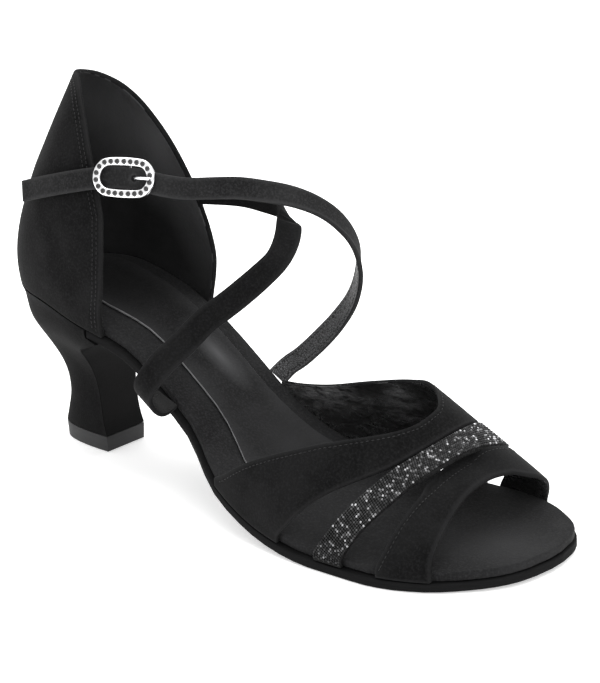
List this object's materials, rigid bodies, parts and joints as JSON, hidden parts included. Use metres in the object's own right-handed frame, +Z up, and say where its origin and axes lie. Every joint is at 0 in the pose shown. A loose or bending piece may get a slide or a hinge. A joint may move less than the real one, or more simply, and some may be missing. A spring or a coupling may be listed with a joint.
{
  "type": "ballroom dance shoe",
  "caption": "Open-toed dance sandal with a high closed back, toe bands, a glitter strap, crossed instep straps, a side buckle and a flared heel.",
  "frame": {"origin": "middle of the shoe's box, at the floor that the heel tip and the forefoot stand on", "axes": "+X toward the toe, +Y toward the medial side, +Z up"},
  "size_m": [0.2302, 0.0804, 0.1415],
  "materials": {
    "nubuck": "matte black nubuck",
    "heel_cover": "matte black cover stretched over the heel",
    "sock_leather": "matte black lining leather with a faint sheen",
    "suede_sole": "grey brushed suede",
    "top_lift": "satin dark grey",
    "glitter": "dark silver beaded glitter",
    "polished_metal": "polished, set with small dark stones"
  },
  "bodies": {
    "root": {"outsole": "suede_sole", "insole": "sock_leather", "sock_pad": "sock_leather", "heel": "heel_cover", "heel_tip": "top_lift", "counter": "nubuck", "vamp_band": "nubuck", "glitter_strap": "glitter", "toe_band": "nubuck", "ankle_strap": "nubuck", "cross_strap": "nubuck", "buckle_frame": "polished_metal", "buckle_prong": "polished_metal", "buckle_tab": "nubuck"}
  },
  "joints": []
}
